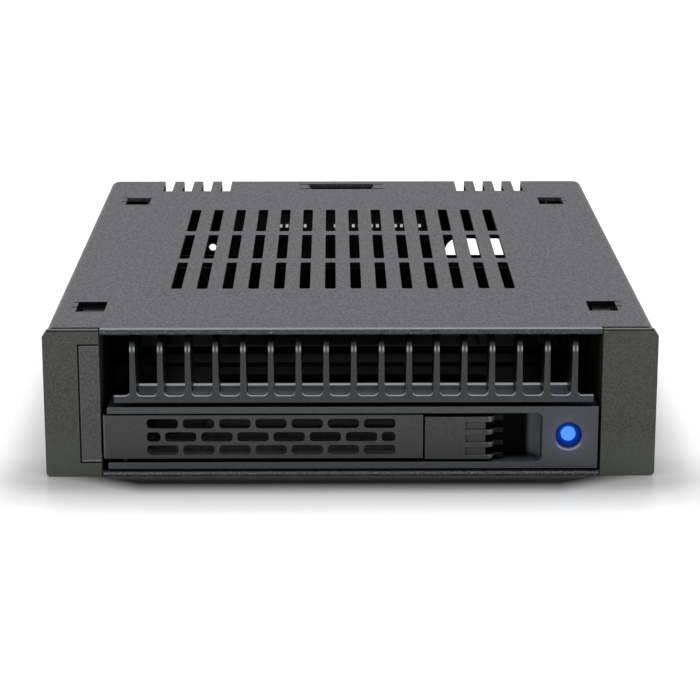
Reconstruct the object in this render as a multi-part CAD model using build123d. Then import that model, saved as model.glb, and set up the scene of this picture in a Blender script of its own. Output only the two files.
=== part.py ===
from build123d import *
import os

# Hot swap drive cage for one 2.5-inch drive (69.85 wide, 100.45 long), to fill a 3.5-inch external bay.
# Millimetres. X is to the right seen from the front, Y runs back from the front, Z is up.
# The origin is at the middle of the underside. A depth is measured back from the front face.

# Whole cage
cage_width = 101.6
cage_height = 25.4
cage_depth = 125.0
seat_gap = 0.05
slide_gap = 0.3
screw_gap = 0.1
overrun = 1.0

# Sheet metal case
sheet = 0.8
bend_radius = 1.6
case_inset = 0.4
corner_relief = 1.65
corner_seam = 0.3
notch_seam = 0.2

# Slots in the top
vent_count = 14
vent_rows = 3
vent_width = 1.9
vent_middle = -1.1
vent_side_margin = 20.1
vent_front_margin = 27.9
vent_rear_margin = 30.7
vent_bridge = 3.2
vent_corner = 0.5

# Lanced windows at the four corners of the top
window_width = 4.9
window_length = 6.7
window_front = 12.0
window_rear_margin = 25.4
window_offset = -0.5
front_window_inset = 4.4
rear_window_inset = 5.45
tab_length = 3.3
tab_drop = 4.2
tab_slit = 0.5
tab_slit_reach = 0.9

# Slots over the rear bend, and the sunk bridge between them
rear_slot_count = 4
rear_slot_width = 2.15
rear_slot_pitch = 4.05
rear_slot_depth = 11.8
rear_slot_drop = 6.6
left_rear_slot_inset = 18.7
right_rear_slot_inset = 20.1
lance_middle = -1.15
lance_width = 17.8
lance_land = 2.0
lance_ramp = 1.5
lance_length = 5.5
lance_rear_margin = 4.3
lance_slit = 0.7
lance_drop = 2.5

# Openings in the rear wall
plug_opening_width = 36.4
plug_opening_height = 8.0
air_opening_width = 15.4
air_opening_height = 6.0
air_opening_gap = 3.6
air_opening_level = 9.7
rear_hole_radius = 0.8
rear_hole_place = -28.95
rear_hole_level = 10.7

# Mounting threads of the bay
thread_radius = 1.25
collar_radius = 2.2
collar_height = 1.2
side_thread_level = 6.35
side_thread_spacing = 60.0
side_thread_front = 30.0
base_thread_inset = 3.175
base_thread_spacing = 44.45
base_thread_front = 35.0
base_collar_radius = 1.9

# Bottom pan
pan_flange = 3.8
flange_clear = 3.2

# Ears at the front
left_ear_width = 9.3
right_ear_width = 9.1
ear_lip = 0.8
ear_seam = 0.7
ear_chamfer = 0.8
ear_chamfer_height = 1.2
ear_corner = 0.75
shadow_groove = 0.2
shadow_groove_depth = 0.3
shadow_groove_drop = 0.15
ear_arm_clear = 0.6
ear_arm_length = 20.3
ear_arm_drop = 1.4
ear_box_depth = 4.0
ear_box_wall = 1.5
hook_length = 1.8
hook_drop = 5.0
insert_width = 3.55
insert_level = 2.35
insert_top_margin = 2.5
insert_depth = 1.0
insert_groove = 0.25

# Finned grille
fin_count = 17
fin_foot = 1.1
fin_tip = 0.77
fin_round = 2.6
fin_depth = 7.4
fin_root_radius = 0.8
fin_margin = 3.174
grille_left_gap = 2.3
grille_right_gap = 1.4
grille_bar_level = 12.87
grille_bar_height = 1.1
grille_bar_depth = 1.3
grille_floor_step = 0.4
grille_lip = 0.8
grille_lip_height = 0.5
grille_rail_height = 1.6
grille_rail_depth = 1.8

# Guide rails
rail_start = 21.4
rail_wall = 1.5
rail_top = 12.9
rail_lip = 1.5
rail_lip_reach = 1.9
rail_pad_width = 3.6
rail_pad_length = 7.0
rail_foot_height = 2.4
rail_foot_spacing = 37.0
rail_boss_length = 12.0
rail_boss_height = 7.6
rail_post_length = 4.6
rail_screw_radius = 1.0
rail_screw_head = 1.9
rail_screw_length = 2.6

# Cross braces over the tray
brace_length = 7.0
brace_rise = 2.0
rear_brace_inset = 20.0

# Backplane
board_thickness = 1.6
rear_space = 13.0
board_bar_level = 2.6
board_bar_height = 8.2
board_tower_left_margin = 8.9
board_tower_right_margin = 3.7
board_top_clear = 3.0
board_margin = 0.2
board_screw_spacing = 3.6
socket_width = 34.6
socket_offset = 4.8
socket_height = 4.8
socket_length = 5.1
socket_level = 3.4
socket_slot = 1.6
socket_slot_depth = 4.2
socket_wall = 1.0
socket_bridge = 1.2
plug_width = 33.4
plug_height = 5.4
plug_drop = 7.8
plug_length = 10.6
plug_wall = 0.8
plug_tongue = 1.2
plug_bridge = 4.7
data_pin_count = 7
power_pin_count = 15
pin_pitch = 1.27
pin_width = 0.55
pin_height = 0.5
pin_length = 0.8
pin_rise = 3.4
plug_middle = -0.45
led_width = 1.6
led_length = 1.4
capacitor_radius = 2.2
capacitor_length = 5.4
capacitor_pitch = 7.0
capacitor_count = 3
capacitor_inset = 14.4

# Tray that carries the drive
drive_height = 9.5
drive_gap = 0.3
drive_hole_inset = 4.065
drive_hole_front_inset = 10.15
drive_hole_rear_inset = 14.0
drive_hole_radius = 1.6
tray_side_gap = 0.675
tray_stop_gap = 3.25
tray_floor_level = 1.4
tray_floor = 0.8
tray_beam = 3.4
tray_beam_top = 10.6
tray_rib = 2.3
tray_rib_height = 2.0
tray_rib_level = 5.5
floor_side_bar = 9.225
floor_window_corner = 3.0
floor_bar = 8.0

# Tray bezel
bezel_depth = 8.0
bezel_right_gap = 0.5
bezel_left_gap = 1.1
bezel_level = 1.35
bezel_height = 10.72
bezel_bar = 1.1
bezel_back = 2.0
bezel_edge = 0.2
block_width = 9.25
pocket_corner = 0.95
scoop_radius = 4.6
back_window_start = 0.9
back_window_end = 3.05
back_window_height = 5.6
tongue_length = 7.0
tongue_wall = 1.25
tongue_height = 6.0
tray_screw_radius = 0.9
tray_screw_head = 1.7
tray_screw_head_height = 0.8
tray_screw_length = 2.6

# Light pipe
pipe_inset = 4.85
pipe_level = 7.05
lens_radius = 1.2
lens_length = 3.0
lens_recess = 1.0
lens_recess_radius = 2.35
pipe_radius = 0.75
pipe_shift = 0.45

# Ejector lever
lever_gap = 0.3
lever_level = 3.16
lever_height = 7.5
lever_wall = 1.8
lever_depth = 4.4
lever_flange = 0.8
lever_corner = 0.5
lever_hub_length = 5.6
lever_hub_depth = 3.2
pin_reach = 3.6
pin_depth = 1.55
pin_radius = 0.6
pin_clearance = 0.05
pin_inset = 0.3
slot_height = 1.67
slot_gap = 0.77
slot_corner = 0.65
slot_count = 7
slot_left_margin = 7.3
slot_right_margin = 4.58
slot_row_pitch = 2.29
short_slot = 2.3

# Release latch
latch_room = 19.55
latch_gap = 0.35
latch_length = 10.1
latch_level = 2.9
latch_height = 7.35
latch_face = 0.2
latch_wall = 1.4
latch_grip_length = 3.4
latch_grip_height = 1.33
latch_grip_depth = 0.4
latch_grip_pitch = 2.18
latch_grip_offset = 0.12
latch_grips = 3
latch_finger = 1.5
latch_frame_depth = 3.8
latch_frame_wall = 1.1
latch_frame_inset = 0.5
latch_rib_length = 3.0
latch_rib = 1.2
latch_post_offset = 8.2
latch_post_length = 1.2
latch_post_height = 3.2
spring_radius = 1.15
spring_wire = 0.3
spring_turns = 5
wire_sides = 6

# Low screws of the case
case_screw_radius = 0.95
case_screw_head = 1.9
case_screw_head_height = 0.35
case_screw_level = 2.2
case_screw_front_inset = 25.0
case_screw_rear_inset = 12.0
case_screw_count = 3

# Worked out from the sizes above
front = -cage_depth / 2
case_half = cage_width / 2 - case_inset
case_inner = case_half - sheet
left_bay = -(cage_width / 2 - left_ear_width)
right_bay = cage_width / 2 - right_ear_width
bay_middle = (left_bay + right_bay) / 2
bay_half = (right_bay - left_bay) / 2
rear_inner = cage_depth - sheet
pan_half = case_inner - seat_gap
base_thread_reach = cage_width / 2 - base_thread_inset
vent_space = cage_depth - vent_front_margin - vent_rear_margin
vent_length = (vent_space - (vent_rows - 1) * vent_bridge) / vent_rows
vent_pitch = (2 * (case_half - vent_side_margin) - vent_width) / (vent_count - 1)
front_window_reach = case_half - front_window_inset
rear_window_reach = case_half - rear_window_inset
window_rear = cage_depth - window_rear_margin
board_face = cage_depth - rear_space
board_top = cage_height - board_top_clear
plug_level = board_top - plug_drop
rail_outer = bay_half + rail_wall
pad_outer = rail_outer + rail_pad_width
pad_middle = rail_outer + rail_pad_width / 2
rear_brace_place = board_face - rear_brace_inset
tray_outer = bay_half - tray_side_gap - tray_rib
tray_inner = tray_outer - tray_beam
tray_rear = board_face - tray_stop_gap
drive_hole_reach = tray_inner - drive_gap - drive_hole_inset
bezel_left = left_bay + bezel_left_gap
bezel_right = right_bay - bezel_right_gap
pocket_right = bezel_right - block_width
pipe_place = bezel_right - pipe_inset
pipe_line = pipe_place + pipe_shift
bezel_top = bezel_level + bezel_height
cavity_low = bezel_level + bezel_bar
cavity_high = bezel_top - bezel_bar
cavity_depth = bezel_depth - bezel_back
cavity_middle = (cavity_low + cavity_high) / 2
latch_left = pocket_right - latch_room
latch_post_place = latch_left + latch_post_offset
lever_left = left_bay + lever_gap
lever_right = latch_left - latch_gap
pin_place = lever_left + pin_reach
slot_first = lever_left + slot_left_margin
slot_last = lever_right - slot_right_margin
slot_length = (slot_last - slot_first + slot_gap) / slot_count - slot_gap
grille_left = left_bay + grille_left_gap
grille_right = right_bay - grille_right_gap
first_fin = grille_left + fin_margin
last_fin = grille_right - fin_margin
fin_pitch = (last_fin - first_fin) / (fin_count - 1)


def slab(x_span, depth_span, z_span):
    """Box between two corners."""
    x_middle = (x_span[0] + x_span[1]) / 2
    y_middle = front + (depth_span[0] + depth_span[1]) / 2
    z_middle = (z_span[0] + z_span[1]) / 2
    sizes = (x_span[1] - x_span[0], depth_span[1] - depth_span[0], z_span[1] - z_span[0])
    return Pos(x_middle, y_middle, z_middle) * Box(*sizes)


def side_slab(side, middle, reach_span, depth_span, z_span):
    """Box whose width is measured outwards from a middle plane, to the left or the right."""
    ends = sorted(middle + side * reach for reach in reach_span)
    return slab(ends, depth_span, z_span)


def rod_along_x(x_span, depth, level, radius):
    """Round bar from left to right."""
    middle = Pos((x_span[0] + x_span[1]) / 2, front + depth, level)
    return middle * Rot(0, 90, 0) * Cylinder(radius, abs(x_span[1] - x_span[0]))


def rod_along_y(place, depth_span, level, radius):
    """Round bar from front to rear."""
    middle = Pos(place, front + (depth_span[0] + depth_span[1]) / 2, level)
    return middle * Rot(90, 0, 0) * Cylinder(radius, depth_span[1] - depth_span[0])


def rod_along_z(place, depth, z_span, radius):
    """Upright round bar."""
    middle = Pos(place, front + depth, (z_span[0] + z_span[1]) / 2)
    return middle * Cylinder(radius, z_span[1] - z_span[0])


def from_front(outline, depth_span):
    """Outline drawn in the front plane, given its depth."""
    body = extrude(Plane.XZ * outline, amount=-(depth_span[1] - depth_span[0]))
    return Pos(0, front + depth_span[0], 0) * body


def rounded_plate(x_span, z_span, radius):
    """Outline of a plate in the front plane, with all four corners rounded."""
    shape = RectangleRounded(x_span[1] - x_span[0], z_span[1] - z_span[0], radius)
    return Pos((x_span[0] + x_span[1]) / 2, (z_span[0] + z_span[1]) / 2) * shape


def bent_shell(half_width, rear, top, radius, start):
    """Block with the rounded top edges of the bent sheet, open to the front and the underside."""
    block = slab((-half_width, half_width), (start, rear), (0, top))
    side_bends = block.edges().filter_by(Axis.Y).group_by(Axis.Z)[-1]
    rear_bend = block.edges().filter_by(Axis.X).group_by(Axis.Z)[-1].sort_by(Axis.Y)[-1]
    return fillet([*side_bends, rear_bend], radius)


def top_vents():
    """All slots of the vent field as one cutting body."""
    field_middle = (vent_front_margin + cage_depth - vent_rear_margin) / 2
    slots = Sketch() + [
        place * RectangleRounded(vent_width, vent_length, vent_corner)
        for place in GridLocations(vent_pitch, vent_length + vent_bridge, vent_count, vent_rows)
    ]
    lowest = Pos(vent_middle, front + field_middle, cage_height - sheet - overrun)
    return lowest * extrude(slots, sheet + 2 * overrun)


def rear_slots(middle):
    """Group of slots that run over the rear bend."""
    cuts = []
    for place in GridLocations(rear_slot_pitch, 0, rear_slot_count, 1):
        left = middle + place.position.X - rear_slot_width / 2
        span = (left, left + rear_slot_width)
        depths = (cage_depth - rear_slot_depth, cage_depth + overrun)
        cuts.append(slab(span, depths, (cage_height - rear_slot_drop, cage_height + overrun)))
    return cuts


def corner_window(side, reach, start):
    """Window and the two slits beside its tab."""
    through = (cage_height - sheet - overrun, cage_height + overrun)
    end = start + window_length
    tab_start = end - tab_length
    window = side_slab(side, window_offset, (reach - window_width, reach), (start, end), through)
    slit_reach = (reach - tab_slit, reach + tab_slit_reach)
    near_slit = side_slab(side, window_offset, slit_reach, (tab_start - tab_slit, tab_start), through)
    far_slit = side_slab(side, window_offset, slit_reach, (end - tab_slit, end), through)
    return [window, near_slit, far_slit]


def corner_tab(side, reach, start):
    """Tab that hangs down from the outer side of a window."""
    end = start + window_length
    depths = (end - tab_length, end - tab_slit)
    levels = (cage_height - tab_drop, cage_height - sheet)
    return side_slab(side, window_offset, (reach, reach + sheet), depths, levels)


def lance():
    """Opening between the rear slots, and the strip of sheet that is pressed down across it."""
    end = cage_depth - lance_rear_margin
    start = end - lance_length
    half = lance_width / 2
    through = (cage_height - sheet - overrun, cage_height + overrun)
    opening = slab((lance_middle - half, lance_middle + half), (start, end), through)
    bends = ((half, 0), (half - lance_land, 0), (half - lance_land - lance_ramp, lance_drop))
    left_side = [(lance_middle - reach, cage_height - drop) for reach, drop in bends]
    right_side = [(lance_middle + reach, cage_height - drop) for reach, drop in reversed(bends)]
    upper = left_side + right_side
    lower = [(x, z - sheet) for x, z in reversed(upper)]
    profile = make_face(Polyline(*upper, *lower, close=True))
    return opening, from_front(profile, (start + lance_slit, end - lance_slit))


def thread_collar_side(side, depth):
    """Collar drawn inwards round a side thread."""
    ends = sorted(side * reach for reach in (case_inner - collar_height, case_inner))
    return rod_along_x(ends, depth, side_thread_level, collar_radius)


def side_thread_cut(side, depth):
    """Bore of a side thread."""
    ends = sorted(side * reach for reach in (case_inner - collar_height - overrun, case_half + overrun))
    return rod_along_x(ends, depth, side_thread_level, thread_radius)


def rear_wall_cuts():
    """Openings for the plugs, the air and one small hole."""
    through = (rear_inner - overrun, cage_depth + overrun)
    left = plug_middle - plug_opening_width / 2
    plug_middle_level = plug_level + plug_height / 2
    plug_half = plug_opening_height / 2
    plug_levels = (plug_middle_level - plug_half, plug_middle_level + plug_half)
    right = left + plug_opening_width
    plugs = from_front(rounded_plate((left, right), plug_levels, vent_corner), through)
    air_shape = SlotOverall(air_opening_width, air_opening_height)
    air_middle = right + air_opening_gap + air_opening_width / 2
    air = from_front(Pos(air_middle, air_opening_level) * air_shape, through)
    hole = rod_along_y(rear_hole_place, through, rear_hole_level, rear_hole_radius)
    return [plugs, air, hole]


def top_cover():
    """Top, both sides and the rear wall, bent from one sheet."""
    outer = bent_shell(case_half, cage_depth, cage_height, bend_radius, 0)
    inner = bent_shell(case_inner, rear_inner, cage_height - sheet, bend_radius - sheet, -overrun)
    body = outer - inner
    beyond = cage_width / 2 + overrun
    left_slots = rear_slots(left_rear_slot_inset - case_half)
    right_slots = rear_slots(case_half - right_rear_slot_inset)
    cuts = [top_vents(), *left_slots, *right_slots, *rear_wall_cuts()]
    for side, bay in ((-1, -left_bay), (1, right_bay)):
        all_up = (-overrun, cage_height + overrun)
        cuts.append(side_slab(side, 0, (bay - notch_seam, beyond), (-overrun, ear_lip + ear_seam), all_up))
        seam = (case_inner - corner_seam, case_inner)
        cuts.append(side_slab(side, 0, seam, (rear_inner - overrun, cage_depth + overrun), all_up))
        relief = (case_half - corner_relief, beyond)
        relief_depth = (cage_depth - corner_relief, cage_depth + overrun)
        relief_levels = (cage_height - corner_relief, cage_height + overrun)
        cuts.append(side_slab(side, 0, relief, relief_depth, relief_levels))
        cuts += corner_window(side, front_window_reach, window_front)
        cuts += corner_window(side, rear_window_reach, window_rear)
    opening, strip = lance()
    body = body - [*cuts, opening] + strip
    for side in (-1, 1):
        body += corner_tab(side, front_window_reach, window_front)
        body += corner_tab(side, rear_window_reach, window_rear)
        for index in range(2):
            depth = side_thread_front + index * side_thread_spacing
            body += thread_collar_side(side, depth)
            body -= side_thread_cut(side, depth)
        for depth in case_screw_depths():
            ends = sorted(side * reach for reach in (case_inner - overrun, case_half + overrun))
            body -= rod_along_x(ends, depth, case_screw_level, case_screw_radius + screw_gap)
    return body


def bottom_pan():
    """Base sheet with low flanges that stand inside the case's sides."""
    body = slab((-pan_half, pan_half), (ear_lip + seat_gap, rear_inner - seat_gap), (0, sheet))
    body += slab((left_bay + notch_seam, right_bay - notch_seam), (0, ear_lip + seat_gap), (0, sheet))
    flange_start = ear_lip + ear_box_depth + slide_gap
    for side in (-1, 1):
        flange = (pan_half - sheet, pan_half)
        body += side_slab(side, 0, flange, (flange_start, rear_inner - corner_relief), (0, pan_flange))
        for index in range(2):
            depth = base_thread_front + index * base_thread_spacing
            gap = (depth - flange_clear, depth + flange_clear)
            body -= side_slab(side, 0, flange, gap, (sheet, pan_flange + overrun))
            place = side * base_thread_reach
            body += rod_along_z(place, depth, (sheet, sheet + collar_height), base_collar_radius)
            body -= rod_along_z(place, depth, (-overrun, sheet + collar_height + overrun), thread_radius)
        for depth in case_screw_depths():
            ends = sorted(side * reach for reach in (pan_half - sheet - overrun, pan_half + overrun))
            body -= rod_along_x(ends, depth, case_screw_level, case_screw_radius + screw_gap)
        for depth in rail_screw_depths():
            body -= countersunk_cut(bay_middle + side * pad_middle, depth)
    return body


def case_screw_depths():
    """Places of the low screws along each side of the case."""
    pitch = (cage_depth - case_screw_front_inset - case_screw_rear_inset) / (case_screw_count - 1)
    return [case_screw_front_inset + index * pitch for index in range(case_screw_count)]


def rail_screw_depths():
    """Places of the screws that hold a guide rail down on the pan."""
    first = rail_start + rail_pad_length / 2
    return [first + index * rail_foot_spacing for index in range(2)] + [board_face - rail_boss_length / 2]


def countersink(place, depth, gap):
    """Cone of a countersunk head in the pan, wider by a gap."""
    upright = (Align.CENTER, Align.CENTER, Align.MIN)
    cone = Cone(rail_screw_head + gap, rail_screw_radius + gap, sheet, align=upright)
    return Pos(place, front + depth, 0) * cone


def countersunk_cut(place, depth):
    """Hole for a countersunk screw in the pan."""
    shaft = rod_along_z(place, depth, (-overrun, sheet + overrun), rail_screw_radius + screw_gap)
    return countersink(place, depth, screw_gap) + shaft


def rail_screws():
    """Countersunk screws from the underside into the guide rails."""
    screws = []
    for side in (-1, 1):
        for depth in rail_screw_depths():
            place = bay_middle + side * pad_middle
            levels = (sheet, sheet + rail_screw_length - screw_gap)
            shaft = rod_along_z(place, depth, levels, rail_screw_radius)
            screws.append(countersink(place, depth, 0) + shaft)
    return Compound(children=screws)


def cover_screws():
    """Low-headed screws through the case's sides into the pan's flanges."""
    screws = []
    for side in (-1, 1):
        for depth in case_screw_depths():
            head = (side * case_half, side * (case_half + case_screw_head_height))
            shaft = (side * (pan_half - sheet), side * case_half)
            body = rod_along_x(head, depth, case_screw_level, case_screw_head)
            screws.append(body + rod_along_x(shaft, depth, case_screw_level, case_screw_radius))
    return Compound(children=screws)


def ear(side, bay):
    """Moulded ear: front plate, box behind it, and the arm that hooks behind the cover's tab."""
    outer = cage_width / 2
    corners = [
        (side * bay, 0),
        (side * outer, 0),
        (side * outer, cage_height - ear_chamfer_height),
        (side * (outer - ear_chamfer), cage_height),
        (side * bay, cage_height),
    ]
    outline = make_face(Polyline(*corners, close=True))
    low_corner = outline.vertices().group_by(Axis.Y)[0].sort_by(Axis.X)[-1 if side > 0 else 0]
    plate = from_front(fillet(low_corner, ear_corner), (0, ear_lip))
    groove_top = cage_height - shadow_groove_drop
    groove = (groove_top - shadow_groove, groove_top)
    plate -= side_slab(side, 0, (0, outer + overrun), (-overrun, shadow_groove_depth), groove)
    box_outer = case_inner - seat_gap
    box_levels = (sheet + seat_gap, cage_height - sheet - seat_gap)
    box = side_slab(side, 0, (bay, box_outer), (ear_lip, ear_lip + ear_box_depth), box_levels)
    top_edges = box.edges().filter_by(Axis.Y).group_by(Axis.Z)[-1]
    box = fillet(top_edges.sort_by(Axis.X)[-1 if side > 0 else 0], bend_radius)
    hollow_levels = (box_levels[0] + ear_box_wall, box_levels[1] - ear_box_wall)
    arm_outer = side * window_offset + front_window_reach - ear_arm_clear
    hollow_reach = (arm_outer, box_outer - ear_box_wall)
    box -= side_slab(side, 0, hollow_reach, (ear_lip, ear_lip + ear_box_depth + overrun), hollow_levels)
    arm_end = ear_lip + ear_arm_length
    arm_top = cage_height - ear_arm_drop
    arm = side_slab(side, 0, (bay, arm_outer), (ear_lip, arm_end), (sheet + seat_gap, arm_top))
    hook_reach = (bay, case_inner - collar_height)
    hook_levels = (arm_top - hook_drop, cage_height - sheet - seat_gap)
    hook = side_slab(side, 0, hook_reach, (arm_end - hook_length, arm_end), hook_levels)
    return plate + box + arm + hook


def left_bezel():
    """Left ear, with a recess for its insert."""
    body = ear(-1, -left_bay)
    recess = (left_bay - insert_width, left_bay + overrun)
    return body - slab(recess, (-overrun, insert_depth), (insert_level, cage_height - insert_top_margin))


def bezel_insert():
    """Plain strip let into the left ear, with a narrow groove on three sides."""
    span = (left_bay - insert_width + insert_groove, left_bay)
    levels = (insert_level + insert_groove, cage_height - insert_top_margin - insert_groove)
    body = slab(span, (0, insert_depth), levels)
    outer_edges = body.edges().filter_by(Axis.Y).group_by(Axis.X)[0]
    return fillet(outer_edges, insert_groove)


def right_bezel():
    """Right ear."""
    return ear(1, right_bay)


def fin(index):
    """One fin: tapers to its tip, and its front edge rounds back at the top."""
    middle = first_fin + index * fin_pitch
    top = cage_height - sheet - seat_gap
    foot_level = grille_bar_level + grille_bar_height / 2
    corners = [
        (middle - fin_foot / 2, foot_level),
        (middle + fin_foot / 2, foot_level),
        (middle + fin_tip / 2, top),
        (middle - fin_tip / 2, top),
    ]
    plate = from_front(make_face(Polyline(*corners, close=True)), (0, fin_depth))
    front_top = plate.edges().group_by(Axis.Z)[-1].sort_by(Axis.Y)[0]
    return fillet(front_top, fin_round)


def fin_roots():
    """Row of rounded floors beside the fins, drawn as the bar's upper outline."""
    cuts = []
    for index in range(-1, fin_count):
        left = first_fin + index * fin_pitch + fin_foot / 2
        span = (left, left + fin_pitch - fin_foot)
        floor_level = grille_bar_level + grille_bar_height
        cuts.append(rounded_plate(span, (floor_level, cage_height), fin_root_radius))
    return cuts


def fin_grille():
    """Comb of fins on a bar and a floor, with a rail under the cover that reaches both ears."""
    low = grille_bar_level
    bar_top = low + grille_bar_height
    comb = (first_fin, last_fin)
    bar = slab((grille_left, grille_right), (0, grille_bar_depth), (low, bar_top))
    web = slab((grille_left, grille_right), (0, grille_bar_depth), (bar_top, bar_top + fin_root_radius))
    web -= [from_front(cut, (-overrun, grille_bar_depth + overrun)) for cut in fin_roots()]
    floor_top = bar_top - grille_floor_step
    floor = slab(comb, (grille_bar_depth, fin_depth), (low, floor_top))
    lip = slab(comb, (fin_depth - grille_lip, fin_depth), (floor_top, floor_top + grille_lip_height))
    rail_top_level = cage_height - sheet - seat_gap
    rail_levels = (rail_top_level - grille_rail_height, rail_top_level)
    rail_span = (left_bay + seat_gap, right_bay - seat_gap)
    rail = slab(rail_span, (fin_depth - grille_rail_depth, fin_depth), rail_levels)
    body = bar + web + floor + lip + rail
    for index in range(fin_count):
        body += fin(index)
    return body


def guide_rail(side):
    """Grooved rail beside the tray, with feet, pads for the braces and a boss for the board."""
    def part(reach, depths, levels):
        return side_slab(side, bay_middle, reach, depths, levels)

    base = sheet + seat_gap
    body = part((bay_half, rail_outer), (rail_start, board_face), (base, rail_top))
    groove = (tray_rib_level - slide_gap, tray_rib_level + tray_rib_height + slide_gap)
    lip_depths = (rail_start, tray_rear)
    lip_reach = (bay_half - rail_lip_reach, bay_half)
    body += part(lip_reach, lip_depths, (groove[0] - rail_lip, groove[0]))
    body += part(lip_reach, lip_depths, (groove[1], groove[1] + rail_lip))
    for start in (rail_start + slide_gap, rear_brace_place):
        pad_levels = (rail_top - rail_foot_height - seat_gap, rail_top)
        body += part((rail_outer, pad_outer), (start, start + rail_pad_length), pad_levels)
    for depth in rail_screw_depths()[:-1]:
        foot = (depth - rail_pad_length / 2, depth + rail_pad_length / 2)
        body += part((rail_outer, pad_outer), foot, (base, base + rail_foot_height))
    boss_start = board_face - rail_boss_length
    boss_top = base + rail_boss_height + rail_foot_height
    body += part((rail_outer, pad_outer), (boss_start, board_face), (base, boss_top))
    post_top = cage_height - sheet - seat_gap
    body += part((bay_half, pad_outer), (board_face - rail_post_length, board_face), (boss_top, post_top))
    place = bay_middle + side * pad_middle
    for depth in rail_screw_depths():
        body -= rod_along_z(place, depth, (0, base + rail_screw_length), rail_screw_radius + screw_gap)
    hole_radius = rail_screw_radius + screw_gap
    for depth in brace_screw_depths():
        body -= rod_along_z(place, depth, (rail_top - rail_foot_height, rail_top + overrun), hole_radius)
    for level in board_screw_levels():
        hole = (board_face - rail_screw_length - screw_gap, board_face + overrun)
        body -= rod_along_y(place, hole, level, hole_radius)
    return body


def brace_screw_depths():
    """Places of the screws that hold the cross braces."""
    return [rail_start + slide_gap + brace_length / 2, rear_brace_place + brace_length / 2]


def board_screw_levels():
    """Heights of the two board screws on each side."""
    middle = board_bar_level + board_bar_height / 2
    return [middle - board_screw_spacing / 2, middle + board_screw_spacing / 2]


def brace(start):
    """Sheet strip from rail to rail, stiffened by a turned-up edge."""
    ends = (bay_middle - pad_outer, bay_middle + pad_outer)
    end = start + brace_length
    body = slab(ends, (start, end), (rail_top, rail_top + sheet))
    edge = (bay_middle - bay_half, bay_middle + bay_half)
    body += slab(edge, (end - sheet, end), (rail_top, rail_top + brace_rise))
    for side in (-1, 1):
        levels = (rail_top - overrun, rail_top + sheet + overrun)
        place = bay_middle + side * pad_middle
        body -= rod_along_z(place, start + brace_length / 2, levels, rail_screw_radius + screw_gap)
    return body


def pan_head_screw_z(place, depth, level):
    """Screw that points down, its head resting at a level."""
    head = rod_along_z(place, depth, (level, level + tray_screw_head_height), tray_screw_head)
    tip = level - sheet - rail_foot_height + slide_gap
    return head + rod_along_z(place, depth, (tip, level), rail_screw_radius)


def brace_screws():
    """Four screws on the cross braces."""
    level = rail_top + sheet
    places = [bay_middle + side * pad_middle for side in (-1, 1)]
    return Compound(children=[
        pan_head_screw_z(place, depth, level) for place in places for depth in brace_screw_depths()
    ])


def board_span():
    """Left and right ends of the board's lower bar."""
    return (bay_middle - pad_outer + board_margin, bay_middle + pad_outer - board_margin)


def backplane_board():
    """Circuit board across the rear: a wide bar low down and a tower for the rear plugs."""
    left, right = board_span()
    bar_top = board_bar_level + board_bar_height
    tower_left = plug_middle - plug_width / 2 - board_tower_left_margin
    tower_right = plug_middle + plug_width / 2 + board_tower_right_margin
    corners = [
        (left, board_bar_level),
        (right, board_bar_level),
        (right, bar_top),
        (tower_right, bar_top),
        (tower_right, board_top),
        (tower_left, board_top),
        (tower_left, bar_top),
        (left, bar_top),
    ]
    faces = (board_face, board_face + board_thickness)
    body = from_front(make_face(Polyline(*corners, close=True)), faces)
    through = (faces[0] - overrun, faces[1] + overrun)
    hole_radius = rail_screw_radius + screw_gap
    for side in (-1, 1):
        for level in board_screw_levels():
            body -= rod_along_y(bay_middle + side * pad_middle, through, level, hole_radius)
    return body


def board_screws():
    """Screws from the rear through the board into the guide rails."""
    screws = []
    rear = board_face + board_thickness
    for side in (-1, 1):
        for level in board_screw_levels():
            place = bay_middle + side * pad_middle
            shaft = rod_along_y(place, (board_face - rail_screw_length, rear), level, rail_screw_radius)
            head = rod_along_y(place, (rear, rear + tray_screw_head_height), level, tray_screw_head)
            screws.append(shaft + head)
    return Compound(children=screws)


def contact_spans(left, width, bridge):
    """Left and right ends of the data and the power side of a serial connector."""
    total = data_pin_count + power_pin_count
    split = left + (width - bridge) * data_pin_count / total
    return (left, split), (split + bridge, left + width)


def drive_connector():
    """Socket on the board's front that the drive plugs into."""
    middle = bay_middle - socket_offset
    left = middle - socket_width / 2
    depths = (board_face - socket_length, board_face)
    body = slab((left, left + socket_width), depths, (socket_level, socket_level + socket_height))
    level = socket_level + socket_height / 2
    for start, end in contact_spans(left + socket_wall, socket_width - 2 * socket_wall, socket_bridge):
        mouth = (depths[0] - overrun, depths[0] + socket_slot_depth)
        body -= slab((start, end), mouth, (level - socket_slot / 2, level + socket_slot / 2))
    return body


def rear_plug(span):
    """Shrouded plug on the board's rear, with a tongue for its contacts."""
    start = board_face + board_thickness
    depths = (start, start + plug_length)
    body = slab(span, depths, (plug_level, plug_level + plug_height))
    inside = (span[0] + plug_wall, span[1] - plug_wall)
    hollow_levels = (plug_level + plug_wall, plug_level + plug_height - plug_wall)
    body -= slab(inside, (start + 2 * plug_wall, depths[1] + overrun), hollow_levels)
    middle = plug_level + plug_height / 2
    tongue_levels = (middle - plug_tongue / 2, middle + plug_tongue / 2)
    tongue = (inside[0] + plug_wall, inside[1] - plug_wall)
    body += slab(tongue, (start, depths[1] - plug_wall), tongue_levels)
    return body


def rear_plug_spans():
    """Ends of the data and the power plug, left to right."""
    return contact_spans(plug_middle - plug_width / 2, plug_width, plug_bridge)


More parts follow.
